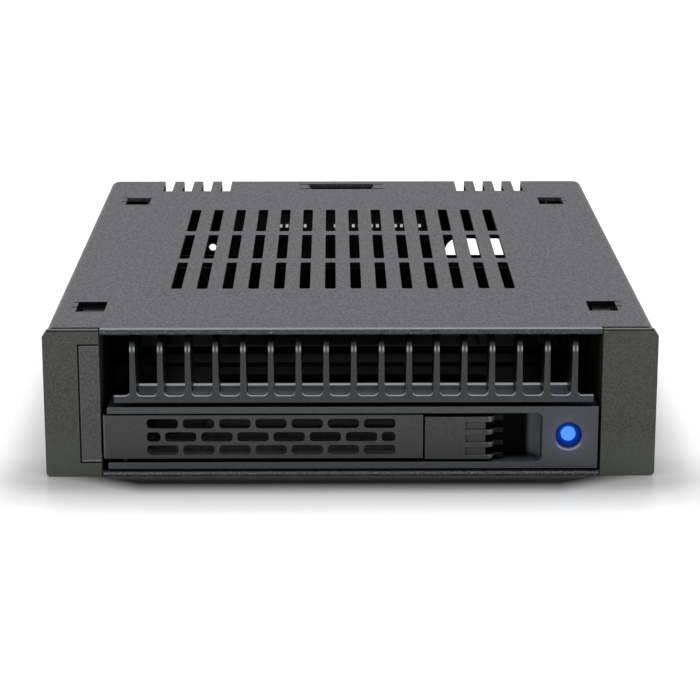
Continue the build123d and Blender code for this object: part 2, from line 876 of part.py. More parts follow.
def solder_pins():
    """Row of soldered tails that stand out of the board's front."""
    pins = []
    level = plug_level + pin_rise
    for count, span in zip((data_pin_count, power_pin_count), rear_plug_spans()):
        middle = (span[0] + span[1]) / 2
        for place in GridLocations(pin_pitch, 0, count, 1):
            left = middle + place.position.X - pin_width / 2
            depths = (board_face - pin_length, board_face)
            pins.append(slab((left, left + pin_width), depths, (level, level + pin_height)))
    return Compound(children=pins)


def board_led():
    """Light source behind the rear end of the light pipe."""
    half = led_width / 2
    levels = (pipe_level - half, pipe_level + half)
    return slab((pipe_line - half, pipe_line + half), (board_face - led_length, board_face), levels)


def board_capacitors():
    """Round capacitors on the board's rear."""
    rear = board_face + board_thickness
    level = board_bar_level + board_bar_height / 2
    cans = []
    for index in range(capacitor_count):
        place = board_span()[0] + capacitor_inset + index * capacitor_pitch
        cans.append(rod_along_y(place, (rear, rear + capacitor_length), level, capacitor_radius))
    return Compound(children=cans)


def drive_holes():
    """Places of the four screw holes for the drive: left to right, with the depth of each."""
    depths = (bezel_depth + drive_hole_front_inset, tray_rear - drive_hole_rear_inset)
    return [(bay_middle + side * drive_hole_reach, depth) for side in (-1, 1) for depth in depths]


def floor_windows():
    """Large openings in the tray's floor, between its cross bars."""
    bars = 3
    clear = tray_rear - bezel_depth - bars * floor_bar
    length = clear / (bars - 1)
    cuts = []
    for index in range(bars - 1):
        start = bezel_depth + floor_bar + index * (length + floor_bar)
        shape = RectangleRounded(2 * (tray_inner - floor_side_bar), length, floor_window_corner)
        place = Pos(bay_middle, front + start + length / 2, tray_floor_level - overrun)
        cuts.append(place * extrude(shape, tray_floor + 2 * overrun))
    return cuts


def tray_frame():
    """Open frame round the drive: floor, two beams and the ribs that run in the guide rails."""
    depths = (bezel_depth, tray_rear)
    floor_levels = (tray_floor_level, tray_floor_level + tray_floor)
    body = slab((bay_middle - tray_outer, bay_middle + tray_outer), depths, floor_levels)
    body -= floor_windows()
    rib_start = bezel_depth + tongue_length + slide_gap
    rib_levels = (tray_rib_level, tray_rib_level + tray_rib_height)
    for side in (-1, 1):
        beam = (tray_inner, tray_outer)
        body += side_slab(side, bay_middle, beam, depths, (tray_floor_level, tray_beam_top))
        rib = (tray_outer, tray_outer + tray_rib)
        body += side_slab(side, bay_middle, rib, (rib_start, tray_rear), rib_levels)
        body -= tray_screw_cut(side)
    groove_half = pipe_radius + screw_gap
    groove = (pipe_line - groove_half, pipe_line + groove_half)
    groove_levels = (pipe_level - groove_half, tray_beam_top + overrun)
    body -= slab(groove, (0, tray_rear + overrun), groove_levels)
    for place, depth in drive_holes():
        body -= rod_along_z(place, depth, (0, drive_height), drive_hole_radius)
    return body


def tray_screw_cut(side):
    """Hole for the screw that holds the tray bezel's tongue."""
    outer = tray_outer + tongue_wall
    reaches = (outer - tray_screw_length - screw_gap, outer + overrun)
    ends = sorted(bay_middle + side * reach for reach in reaches)
    depth = bezel_depth + tongue_length / 2
    return rod_along_x(ends, depth, tray_screw_level(), tray_screw_radius + screw_gap)


def tray_screw_level():
    """Height of the two tray screws, below the light pipe."""
    return pipe_level - pipe_radius - tray_screw_radius - slide_gap - screw_gap


def tray_screws():
    """Screws through the tray bezel's tongues into the beams."""
    screws = []
    depth = bezel_depth + tongue_length / 2
    outer = tray_outer + tongue_wall
    for side in (-1, 1):
        shaft = (bay_middle + side * (outer - tray_screw_length), bay_middle + side * outer)
        head = (bay_middle + side * outer, bay_middle + side * (outer + tray_screw_head_height))
        body = rod_along_x(shaft, depth, tray_screw_level(), tray_screw_radius)
        screws.append(body + rod_along_x(head, depth, tray_screw_level(), tray_screw_head))
    return Compound(children=screws)


def tray_bezel():
    """Front of the tray: two bars open to the left, a finger pocket and the block of the light."""
    outline = rounded_plate((bezel_left, bezel_right), (bezel_level, bezel_top), bezel_edge)
    body = from_front(outline, (0, bezel_depth))
    cavity = (bezel_left - cage_width, pocket_right)
    opening = from_front(
        rounded_plate(cavity, (cavity_low, cavity_high), pocket_corner), (-overrun, cavity_depth)
    )
    scoop_middle = pocket_right - scoop_radius
    scoop_end = cavity_depth - scoop_radius
    all_up = (0, cage_height)
    scoop_keep = slab((scoop_middle, pocket_right + overrun), (-overrun, cavity_depth + overrun), all_up)
    scoop_keep -= rod_along_z(scoop_middle, scoop_end, all_up, scoop_radius)
    scoop_keep -= slab((scoop_middle, pocket_right), (-overrun, scoop_end), all_up)
    body -= opening - scoop_keep
    window_half = back_window_height / 2
    window_span = (slot_first + back_window_start, lever_right - back_window_end)
    window_levels = (cavity_middle - window_half, cavity_middle + window_half)
    window = rounded_plate(window_span, window_levels, slot_corner)
    body -= from_front(window, (cavity_depth - overrun, bezel_depth + overrun))
    hanging = (Align.CENTER, Align.CENTER, Align.MAX)
    cone = Cone(lens_radius + screw_gap, lens_recess_radius, lens_recess, align=hanging)
    body -= Pos(pipe_place, front, pipe_level) * Rot(90, 0, 0) * cone
    body -= rod_along_y(pipe_place, (-overrun, bezel_depth + overrun), pipe_level, lens_radius + screw_gap)
    body -= rod_along_z(pin_place, pin_depth, pin_span(), pin_radius)
    post = (latch_post_place, latch_post_place + latch_post_length)
    post_levels = (cavity_middle - latch_post_height / 2, cavity_middle + latch_post_height / 2)
    body += slab(post, (latch_face + latch_wall + slide_gap, cavity_depth), post_levels)
    for side in (-1, 1):
        tongue = (tray_outer + seat_gap, tray_outer + tongue_wall)
        depths = (cavity_depth, bezel_depth + tongue_length)
        level = tray_screw_level()
        levels = (level - tongue_height / 2, level + tongue_height / 2)
        body += side_slab(side, bay_middle, tongue, depths, levels)
        body -= tray_screw_cut(side)
    return body


def pin_span():
    """Lower and upper end of the lever's pin."""
    return (bezel_level + pin_inset, bezel_top - pin_inset)


def lever_pin():
    """Hinge pin of the lever, held in the bars of the tray bezel."""
    return rod_along_z(pin_place, pin_depth, pin_span(), pin_radius)


def light_pipe():
    """Lens at the front and the rod that leads the light forward from the board."""
    lens = rod_along_y(pipe_place, (lens_recess, lens_recess + lens_length), pipe_level, lens_radius)
    rod = rod_along_y(pipe_line, (lens_recess, tray_rear), pipe_level, pipe_radius)
    return lens + rod


def lever_slots():
    """Outlines of the vent slots: full rows above and below, a half-shifted row between them."""
    pitch = slot_length + slot_gap
    middle_level = lever_level + lever_height / 2
    outlines = []
    for row in (-1, 0, 1):
        level = middle_level + row * slot_row_pitch
        levels = (level - slot_height / 2, level + slot_height / 2)
        shift = pitch / 2 if row == 0 else 0
        for index in range(slot_count - 1 if row == 0 else slot_count):
            left = slot_first + shift + index * pitch
            outlines.append(rounded_plate((left, left + slot_length), levels, slot_corner))
        if row == 0:
            outlines.append(rounded_plate((slot_first, slot_first + short_slot), levels, slot_corner))
            outlines.append(rounded_plate((slot_last - short_slot, slot_last), levels, slot_corner))
    return outlines


def ejector_lever():
    """Vented lever across the tray's front, hinged at its left end."""
    levels = (lever_level, lever_level + lever_height)
    face = slab((lever_left, lever_right), (0, lever_wall), levels)
    hub_end = lever_left + lever_hub_length
    hub = slab((lever_left, hub_end), (0, lever_hub_depth), levels)
    body = face + hub
    left_corner = body.edges().filter_by(Axis.Z).group_by(Axis.X)[0].sort_by(Axis.Y)[0]
    body = fillet(left_corner, lever_corner)
    flange = (hub_end, lever_right - lever_corner)
    body += slab(flange, (lever_wall, lever_depth), (levels[0], levels[0] + lever_flange))
    body += slab(flange, (lever_wall, lever_depth), (levels[1] - lever_flange, levels[1]))
    body += slab((flange[1] - lever_flange, flange[1]), (lever_wall, lever_depth), levels)
    for outline in lever_slots():
        body -= from_front(outline, (-overrun, lever_wall + overrun))
    through = (levels[0] - overrun, levels[1] + overrun)
    return body - rod_along_z(pin_place, pin_depth, through, pin_radius + pin_clearance)


def grip_levels():
    """Middle heights of the finger grips."""
    middle = latch_level + latch_height / 2 - latch_grip_offset
    return [middle + (index - 1) * latch_grip_pitch for index in range(latch_grips)]


def grip_bars():
    """Levels of the four bars that the grips leave standing."""
    half = latch_grip_height / 2
    bounds = [latch_level]
    for level in grip_levels():
        bounds += [level - half, level + half]
    bounds.append(latch_level + latch_height)
    return [(bounds[index], bounds[index + 1]) for index in range(0, len(bounds), 2)]


def release_latch():
    """Sliding latch: face with finger grips, ribs behind them, and a frame that holds the spring."""
    levels = (latch_level, latch_level + latch_height)
    right = latch_left + latch_length
    face_depths = (latch_face, latch_face + latch_wall)
    tip = right + latch_finger
    body = slab((latch_left, tip), face_depths, levels)
    outer_edge = body.edges().filter_by(Axis.Z).group_by(Axis.X)[-1].sort_by(Axis.Y)[0]
    body = fillet(outer_edge, latch_wall - seat_gap)
    for level in grip_levels():
        grip = (level - latch_grip_height / 2, level + latch_grip_height / 2)
        body -= slab((right - latch_grip_length, right), (0, latch_face + latch_grip_depth), grip)
        notch_depths = (0, face_depths[1] + overrun)
        body -= slab((right, tip + overrun), notch_depths, grip)
    frame_depths = (face_depths[1], latch_face + latch_wall + latch_frame_depth)
    for bar in grip_bars():
        body += slab((right, right + latch_rib_length), (face_depths[1], face_depths[1] + latch_rib), bar)
    inner = (levels[0] + latch_frame_inset, levels[1] - latch_frame_inset)
    left = latch_left + latch_frame_wall
    body += slab((left, left + latch_frame_wall), frame_depths, inner)
    body += slab((left, right), frame_depths, (inner[0], inner[0] + latch_frame_wall))
    body += slab((left, right), frame_depths, (inner[1] - latch_frame_wall, inner[1]))
    return body


def latch_spring():
    """Coil spring between the latch's frame and the post behind it, its wire drawn with few sides."""
    start = latch_left + 2 * latch_frame_wall + spring_wire + seat_gap
    end = latch_post_place - spring_wire - seat_gap
    length = end - start
    depth = latch_face + latch_wall + latch_frame_depth / 2
    path = Helix(length / spring_turns, length, spring_radius)
    section = Plane(path @ 0, z_dir=path % 0) * RegularPolygon(spring_wire, wire_sides)
    coil = sweep(section, path=path)
    return Pos(start, front + depth, cavity_middle) * Rot(0, 90, 0) * coil


pieces = {
    "top_cover": top_cover(),
    "bottom_pan": bottom_pan(),
    "left_bezel": left_bezel(),
    "right_bezel": right_bezel(),
    "bezel_insert": bezel_insert(),
    "fin_grille": fin_grille(),
    "left_guide_rail": guide_rail(-1),
    "right_guide_rail": guide_rail(1),
    "front_brace": brace(rail_start + slide_gap),
    "rear_brace": brace(rear_brace_place),
    "backplane_board": backplane_board(),
    "drive_connector": drive_connector(),
    "data_connector": rear_plug(rear_plug_spans()[0]),
    "power_connector": rear_plug(rear_plug_spans()[1]),
    "solder_pins": solder_pins(),
    "board_led": board_led(),
    "board_capacitors": board_capacitors(),
    "board_screws": board_screws(),
    "rail_screws": rail_screws(),
    "brace_screws": brace_screws(),
    "cover_screws": cover_screws(),
    "tray_frame": tray_frame(),
    "tray_bezel": tray_bezel(),
    "tray_screws": tray_screws(),
    "light_pipe": light_pipe(),
    "lever_pin": lever_pin(),
    "latch_spring": latch_spring(),
    "ejector_lever": ejector_lever(),
    "release_latch": release_latch(),
}

os.makedirs("parts", exist_ok=True)
for name, shape in pieces.items():
    export_step(shape, f"parts/{name}.step")
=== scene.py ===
"""Studio picture of a hot swap drive cage, dressed around its fixed frame.

Metres. X is to the right seen from the front, Y runs back, Z is up.
"""

from math import cos, radians, sin

import bpy
from bpy.props import FloatProperty, FloatVectorProperty, PointerProperty
from mathutils import Matrix, Vector


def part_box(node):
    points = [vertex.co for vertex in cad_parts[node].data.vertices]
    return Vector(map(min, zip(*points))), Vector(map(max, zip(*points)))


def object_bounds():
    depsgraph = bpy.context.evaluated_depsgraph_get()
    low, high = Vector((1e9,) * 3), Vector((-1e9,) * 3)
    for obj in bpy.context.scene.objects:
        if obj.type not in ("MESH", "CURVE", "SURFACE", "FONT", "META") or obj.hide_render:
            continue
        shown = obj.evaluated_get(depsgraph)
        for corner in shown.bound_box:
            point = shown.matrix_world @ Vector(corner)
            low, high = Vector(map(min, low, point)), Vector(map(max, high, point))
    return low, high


bl_info = {
    "name": "Drive Cage Studio",
    "version": (1, 0, 0),
    "blender": (4, 5, 0),
    "location": "View3D > Sidebar > Drive Cage",
    "description": "Dresses a hot swap drive cage and sets up its studio",
    "category": "Object",
}

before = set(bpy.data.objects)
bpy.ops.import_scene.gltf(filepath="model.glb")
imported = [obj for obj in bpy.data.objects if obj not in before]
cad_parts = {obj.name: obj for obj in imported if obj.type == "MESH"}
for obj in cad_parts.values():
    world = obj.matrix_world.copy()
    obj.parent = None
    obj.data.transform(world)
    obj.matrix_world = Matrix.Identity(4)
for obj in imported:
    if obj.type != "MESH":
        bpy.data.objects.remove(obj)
cad_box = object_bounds()
LOW, HIGH = cad_box
MM = 0.001

# Studio
FLOOR_REACH = 4.0
FLOOR_CLOUD = 300 * MM
FLOOR_GLOW = 0.18
FAR_GLOW = 5.0
FAR_GLOW_DISTANCE = (0.25, 1.5)
WALL_HEIGHT = (0.12, 0.35)
KEY_PLACE, KEY_AIM, KEY_SIZE = (0.0, 0.05, 0.75), (0, 0, 0), (1.1, 0.9)
FILL_PLACE, FILL_AIM, FILL_SIZE = (0.70, -0.80, 0.16), (0, -0.06, 0.01), (0.35, 0.35)
SENSOR_WIDTH = 36
NEAREST_SEEN = 0.01

# Tones that are laid over the finishes, painted highlights, painted light and painted shade among them
BLACK = (0, 0, 0)
DARK = (0.0015, 0.0015, 0.0017)
NO_GLOSS = (0.05, 0.05, 0.05)
CASE_SHADE = (0.004, 0.0045, 0.007)
# Painted highlight along the top's front lip
LIP_HIGHLIGHT = (0.185, 0.190, 0.205)
CUT_EDGE = ((0.007, 0.010, 0.013), (0.021, 0.027, 0.034))
CUT_EDGE_SPECK = (0.15, 0.165, 0.18)
# Light specks on the pan's cut edge: a rough edge with a painted highlight
PAN_EDGE_SPECKLED_HIGHLIGHT = ((0.03, 0.03, 0.03), (0.34, 0.33, 0.32))
# Painted highlight on the ears' top faces at the front
EAR_TOP_HIGHLIGHT = (0.080, 0.082, 0.090)
# Painted highlight just above the foot of the strip in the left ear
STRIP_FOOT_HIGHLIGHT = (0.22, 0.24, 0.26)
# Painted light on the grille's floor behind the fins
GRILLE_FLOOR_PAINTED_LIGHT = (0.37, 0.43, 0.50)
# Painted highlight on the ledge behind the fins, and the faint glow that adds to it
GRILLE_LEDGE_HIGHLIGHT = (0.85, 0.86, 0.90)
GRILLE_LEDGE_HIGHLIGHT_GLOW = (0.20, 0.205, 0.215)
# Painted highlight on the grille bar's top front edge
GRILLE_BROW_HIGHLIGHT = (0.62, 0.63, 0.66)
# Painted highlight on the fins' rounded tops
FIN_NOSE_HIGHLIGHT = (0.26, 0.27, 0.28)
POCKET_GLINT = (0.5, 0.5, 0.5)
# Painted light on the lever's low ledges
SLOT_LEDGE_PAINTED_LIGHT = (0.080, 0.087, 0.084)
HALO = (1.2, 1.2, 4.0)
# Painted highlight on the lower arc of the rim around the lens's ring
RING_ARC_HIGHLIGHT = (0.24, 0.25, 0.30)
BOARD_MASK = (0.002, 0.006, 0.004)
CONNECTOR_BLACK = (0.004, 0.004, 0.005)
# The braces are set near black as painted shade inside the cage
BRACE_PAINTED_SHADE = (0.003, 0.003, 0.004)

# Where those tones lie. Names in the plural give the two ends of a range, the others the two ends of a mask's
# soft edge. Depths run back from the front plane, and insets inwards from the cage's box.
SHEET_INSET = 0.78 * MM
WALL_INSET = 1.2 * MM
REAR_INSET = (21 * MM, 20 * MM)
LIP_DEPTH, LIP_INSET = (1.0 * MM, 1.3 * MM), (1.0 * MM, 0.8 * MM)
PAN_EDGE_HEIGHTS = (0.42 * MM, 0.85 * MM)
EAR_LINE_DEPTH, EAR_LINE_INSET = (2.0 * MM, 2.2 * MM), (0.6 * MM, 0.4 * MM)
STRIP_LINE_HEIGHT = (0.32 * MM, 0.42 * MM)
FIRST_FIN, FIN_PITCH = -36.026 * MM, 4.572 * MM
FLOOR_DEPTH, FLOOR_HEIGHT = (1.3 * MM, 1.4 * MM), (14.2 * MM, 14.4 * MM)
LEDGE_HEIGHT = (13.86 * MM, 13.96 * MM)
BROW_DEPTH, BROW_HEIGHT = (0.6 * MM, 0.8 * MM), (16 * MM, 17 * MM)
GRILLE_SHADE_HEIGHT = (22.5 * MM, 23.3 * MM)
NOSE_DEPTH, NOSE_HEIGHTS, NOSE_SIDE = (0.6 * MM, 1.2 * MM), (21.9 * MM, 22.2 * MM), (0.08 * MM, 0.26 * MM)
POCKET_DEPTH, POCKET_HEIGHTS, POCKET_END = (1.6 * MM, 4.0 * MM), (1.6 * MM, 11.7 * MM), (29.6 * MM, 30.4 * MM)
BESIDE_LEVER = (12 * MM, 13 * MM)
MIDDLE_FROM, MIDDLE_TO = (4.9 * MM, 5.4 * MM), (9.3 * MM, 9.5 * MM)
GLINT_DEPTH, GLINT_HEIGHTS, GLINT_SIDES = (0.3 * MM, 0.4 * MM), (2.8 * MM, 3.4 * MM), (30.2 * MM, 31.3 * MM)
SLOT_LEDGE_DEPTH, SLOT_LEDGE_HEIGHT = (0.4 * MM, 0.6 * MM), (4.05 * MM, 4.15 * MM)
LATCH_SHADE_FROM = (23.3 * MM, 24.3 * MM)
LENS_GLOW_RADIUS = 1.3 * MM
RING_DEPTH, RING_RADIUS = (3.0 * MM, 3.5 * MM), 2.1 * MM
HALO_RADIUS = (2.2 * MM, 6.0 * MM)
ARC_RADII, ARC_HEIGHT = (2.38 * MM, 2.60 * MM), (-2.0 * MM, -1.2 * MM)
LIT_DEPTH, LIT_EDGE = 4.0 * MM, 0.5 * MM

# The floor's painted shadow and its glow, as distances from the cage's box
SHADOW_FRONT = (-2 * MM, 12 * MM)
SHADOW_REACH = (3.5 * MM, 9.5 * MM)
WIDE_SHADOW_REACH = (5 * MM, 22 * MM)
TAPER_INSET, TAPER = (16 * MM, 1 * MM), 8 * MM
GLOW_DISTANCE, GLOW_BESIDE = (6 * MM, 25 * MM), (1 * MM, 10 * MM)

# Rounding of edges
MERGE_DISTANCE = 0.001 * MM
FLAT_ANGLE, SHARP_ANGLE = radians(0.5), radians(32)
ROUNDING_STEPS = 2
NORMAL_WEIGHT = 80
CONNECTOR_EDGE, CAN_EDGE = 0.08 * MM, 0.1 * MM

# Moulded plastics. moulded_plastic says what each value does.
PLASTICS = {
    "ear_plastic": dict(
        roughness=0.55, grain_size=0.34 * MM, depth=0.04 * MM, contrast=0.42, alone=True, foot=2.1
    ),
    "strip_plastic": dict(
        roughness=0.55, grain_size=0.42 * MM, depth=0.05 * MM, contrast=0.34, alone=True, foot=1.6
    ),
    "grille_plastic": dict(
        roughness=0.38, grain_size=0.5 * MM, depth=0.006 * MM, contrast=0.12, rim_highlight=5.0, hollow=1.5 * MM
    ),
    "tray_plastic": dict(
        roughness=0.42, grain_size=0.4 * MM, depth=0.008 * MM, contrast=0.12, rim_highlight=6.0, hollow=2.5 * MM, foot=1.9
    ),
    "lever_plastic": dict(roughness=0.5, grain_size=0.28 * MM, depth=0.015 * MM, contrast=0.22, rim_highlight=5.0),
    "latch_plastic": dict(roughness=0.48, grain_size=0.28 * MM, depth=0.012 * MM, contrast=0.2, rim_highlight=5.0),
    "tray_frame_plastic": dict(
        roughness=0.5, grain_size=0.4 * MM, depth=0.01 * MM, contrast=0.2, rim_highlight=1.0, sheen=0.1
    ),
    "connector_plastic": dict(
        roughness=0.5, grain_size=0.4 * MM, depth=0.006 * MM, contrast=0.2, rim_highlight=1.0, sheen=0.1
    ),
    "inner_plastic": dict(
        roughness=0.55, grain_size=0.4 * MM, depth=0.01 * MM, contrast=0.2, rim_highlight=1.0, sheen=0.1
    ),
    "plated_sheet": dict(
        roughness=0.55, grain_size=0.3 * MM, depth=0.006 * MM, contrast=0.3, rim_highlight=1.0, sheen=0.1
    ),
}

# Bare metals, in the same way with bare_metal
METALS = {
    "pin_steel": dict(base=(0.03, 0.03, 0.032), roughness=0.45),
    "black_screws": dict(base=(0.03, 0.03, 0.032), roughness=0.45),
    "led_chip": dict(base=(0.05, 0.05, 0.06), roughness=0.4),
    "can_metal": dict(base=(0.10, 0.10, 0.10), roughness=0.4),
    "solder": dict(base=(0.95, 0.93, 0.88), roughness=0.35, metallic=0.3, glint=0.45),
}

# Sockets of the Mix node when it mixes colours
MIX_FACTOR, MIX_FIRST, MIX_SECOND, MIX_RESULT = 0, 6, 7, 2


def colour(name, default, description):
    """Colour property with the usual settings."""
    return FloatVectorProperty(
        name=name, description=description, default=default, subtype="COLOR", size=3, min=0.0, max=1.0
    )


def length(name, default, description):
    """Length property in metres."""
    return FloatProperty(name=name, description=description, default=default, min=0.0, unit="LENGTH", precision=5)


class DriveCageStudioSettings(bpy.types.PropertyGroup):
    """Camera, floor and lights."""

    eye: FloatVectorProperty(
        name="Eye", description="Where the camera stands", default=(-0.0027, -0.4368, 0.1252),
        subtype="TRANSLATION", unit="LENGTH",
    )
    lens: FloatProperty(name="Lens", description="Focal length", default=121.2, min=10.0, unit="CAMERA")
    tilt: FloatProperty(
        name="Tilt", description="How far the camera looks down", default=radians(15.43), unit="ROTATION"
    )
    turn: FloatProperty(
        name="Turn", description="How far the camera looks right", default=radians(0.40), unit="ROTATION"
    )
    floor_colour: colour("Floor", (0.93, 0.93, 0.93), "Colour of the studio floor")
    room_light: FloatProperty(name="Room light", description="Strength of the white room", default=0.50, min=0.0)
    horizon_light: FloatProperty(
        name="Horizon", description="Strength of the wall around it", default=1.0, min=0.0
    )
    key_power: FloatProperty(
        name="Key light", description="Power of the overhead softbox", default=6.4, min=0.0, unit="POWER"
    )
    fill_power: FloatProperty(
        name="Fill lights", description="Power of each front softbox", default=0.7, min=0.0, unit="POWER"
    )


class DriveCageFinishSettings(bpy.types.PropertyGroup):
    """Colours of the cage's finishes."""

    cover_paint: colour("Cover paint", (0.056, 0.054, 0.060), "Powder coat of the sheet metal")
    ear_plastic: colour("Ear plastic", (0.031, 0.034, 0.027), "Spark-eroded plastic of the ears")
    insert_plastic: colour("Strip plastic", (0.044, 0.046, 0.043), "Coarser plastic of the strip in the left ear")
    grille_plastic: colour("Grille plastic", (0.007, 0.010, 0.013), "Satin plastic of the finned grille")
    tray_plastic: colour("Tray plastic", (0.032, 0.036, 0.040), "Satin plastic of the tray's front")
    lever_plastic: colour("Lever plastic", (0.029, 0.032, 0.029), "Fine plastic of the vented lever")
    latch_plastic: colour("Latch plastic", (0.027, 0.030, 0.028), "Fine plastic of the latch")
    # Near black: the inner plastic's own dark colour, made darker still as painted shade inside the cage
    inner_plastic: colour("Inner plastic", (0.004, 0.004, 0.005), "Black plastic inside the cage")
    light_colour: colour("Status light", (0.055, 0.28, 0.95), "Lit lens")
    ring_colour: colour("Light's ring", (0.0015, 0.020, 0.24), "Glow on the ring around the lens")


class DriveCageDetailSettings(bpy.types.PropertyGroup):
    """Sizes of the small roundings."""

    sheet_edge: length("Sheet edge", 0.30 * MM, "Rounding of cut sheet edges under the paint")
    moulded_edge: length("Moulded edge", 0.14 * MM, "Rounding of moulded edges")
    fine_edge: length("Fine edge", 0.08 * MM, "Rounding of the smallest moulded edges")


class Recipe:
    """One finish under construction: its nodes, joined as they are added, and its colour so far."""

    def __init__(self, name, base, roughness):
        self.material = bpy.data.materials.new(name)
        self.material.use_nodes = True
        self.tree = self.material.node_tree
        self.shader = self.tree.nodes["Principled BSDF"]
        self.shader.inputs["Roughness"].default_value = roughness
        self.skin = base
        self.gloss = (1, 1, 1)
        texture = self.tree.nodes.new("ShaderNodeTexCoord")
        self.places = texture.outputs["Object"]
        self.x, self.y, self.z = self.split(self.places)
        _, self.facing_y, self.facing_z = self.split(texture.outputs["Normal"])

    def node(self, kind, values=None, **settings):
        """Adds a node. values are its inputs: a socket joins, anything else is set."""
        made = self.tree.nodes.new(kind)
        for key, value in settings.items():
            setattr(made, key, value)
        for key, value in (values or {}).items():
            if isinstance(value, bpy.types.NodeSocket):
                self.tree.links.new(value, made.inputs[key])
            else:
                made.inputs[key].default_value = value
        return made

    def split(self, vector):
        """The three numbers of a vector."""
        return self.node("ShaderNodeSeparateXYZ", {0: vector}).outputs[:3]

    def joined(self, *numbers):
        """A vector of up to three numbers."""
        return self.node("ShaderNodeCombineXYZ", dict(enumerate(numbers))).outputs[0]

    def length_of(self, *numbers):
        """How long a vector of up to three numbers is."""
        values = {0: self.joined(*numbers)}
        return self.node("ShaderNodeVectorMath", values, operation="LENGTH").outputs["Value"]

    def noise(self, size, detail=2.0, roughness=0.5, places=None):
        """Noise whose features are about size metres wide."""
        values = {"Vector": places or self.places, "Scale": 1.0 / size, "Detail": detail, "Roughness": roughness}
        return self.node("ShaderNodeTexNoise", values).outputs["Fac"]

    def stretched(self, factors):
        """Places with each axis multiplied by a factor."""
        return self.node("ShaderNodeVectorMath", {0: self.places, 1: factors}, operation="MULTIPLY").outputs[0]

    def ranged(self, source, low, high, to_low, to_high):
        """Source mapped from one range to another, and held inside it."""
        values = {"Value": source, "From Min": low, "From Max": high, "To Min": to_low, "To Max": to_high}
        return self.node("ShaderNodeMapRange", values).outputs["Result"]

    def maths(self, operation, first, second=0.0):
        """One sum on two values."""
        return self.node("ShaderNodeMath", {0: first, 1: second}, operation=operation).outputs[0]

    def both(self, *masks):
        """Where all the masks hold."""
        whole = masks[0]
        for mask in masks[1:]:
            whole = self.maths("MULTIPLY", whole, mask)
        return whole

    def either(self, first, second):
        """Where one of two masks holds."""
        return self.maths("MAXIMUM", first, second)

    def above(self, source, start, whole, most=1.0):
        """Mask that begins at start, and is at its most from whole on."""
        return self.ranged(source, start, whole, 0.0, most)

    def below(self, source, whole, end, most=1.0):
        """Mask that is at its most up to whole, and ends at end."""
        return self.ranged(source, whole, end, most, 0.0)

    def between(self, source, low, high, soft):
        """1 where a value lies between two, with soft ends outside them."""
        return self.both(self.above(source, low - soft, low), self.below(source, high, high + soft))

    def behind(self, start, whole):
        """Mask for what lies deeper than this behind the front plane."""
        return self.above(self.y, LOW.y + start, LOW.y + whole)

    def before(self, whole, end):
        """Mask for what lies less deep than this behind the front plane."""
        return self.below(self.y, LOW.y + whole, LOW.y + end)

    def looks_up(self, start, whole):
        """Mask for faces that look up: 0 is an upright face, 1 a level one."""
        return self.above(self.facing_z, start, whole)

    def crevices(self, distance, alone):
        """Mask for corners and hollows narrower than the distance, of this piece alone or of all."""
        values = {"Distance": distance}
        open_sky = self.node("ShaderNodeAmbientOcclusion", values, samples=6, only_local=alone).outputs["AO"]
        return self.ranged(open_sky, 0.75, 0.30, 0.0, 0.95)

    def blend_colours(self, factor, first, second):
        """Mix of two colours."""
        made = self.node("ShaderNodeMix", data_type="RGBA")
        for index, value in ((MIX_FACTOR, factor), (MIX_FIRST, first), (MIX_SECOND, second)):
            if isinstance(value, bpy.types.NodeSocket):
                self.tree.links.new(value, made.inputs[index])
            else:
                made.inputs[index].default_value = value if index == MIX_FACTOR else (*value, 1.0)
        return made.outputs[MIX_RESULT]

    def tint(self, mask, tone):
        """Lays a colour over the skin where the mask holds."""
        self.skin = self.blend_colours(mask, self.skin, tone)

    def cloud(self, size, most, tone, detail=2.0):
        """Lays a colour over the skin in wide soft patches."""
        self.tint(self.above(self.noise(size, detail), 0.35, 0.65, most), tone)

    def shadow(self, mask, tone=DARK):
        """Darkens the skin and takes its gloss where the mask holds."""
        self.tint(mask, tone)
        self.gloss = self.blend_colours(mask, self.gloss, NO_GLOSS)

    def bump(self, height, distance, strength):
        """Surface relief."""
        values = {"Height": height, "Distance": distance, "Strength": strength}
        self.wire(self.node("ShaderNodeBump", values).outputs["Normal"], "Normal")

    def glow(self, tone, strength=1.0):
        """Light that the surface gives off."""
        self.wire(tone, "Emission Color")
        self.shader.inputs["Emission Strength"].default_value = strength

    def wire(self, source, socket):
        """Joins a source to one of the shader's inputs."""
        self.tree.links.new(source, self.shader.inputs[socket])

    def finished(self):
        """The material, with its skin and gloss joined to the shader."""
        self.wire(self.skin, "Base Color")
        if isinstance(self.gloss, bpy.types.NodeSocket):
            self.wire(self.gloss, "Specular Tint")
        return self.material


def shaded(base, factor):
    """Colour made lighter or darker."""
    return tuple(channel * factor for channel in base)


def cut_edge(recipe):
    """Colour of the sheet's cut edge: dark and blotchy, with light specks."""
    blotch = recipe.noise(1.1 * MM)
    speck = recipe.noise(0.30 * MM, detail=4.0, roughness=0.7)
    tone = recipe.blend_colours(recipe.above(blotch, 0.4, 0.6), *CUT_EDGE)
    return recipe.blend_colours(recipe.above(speck, 0.56, 0.70), tone, CUT_EDGE_SPECK)


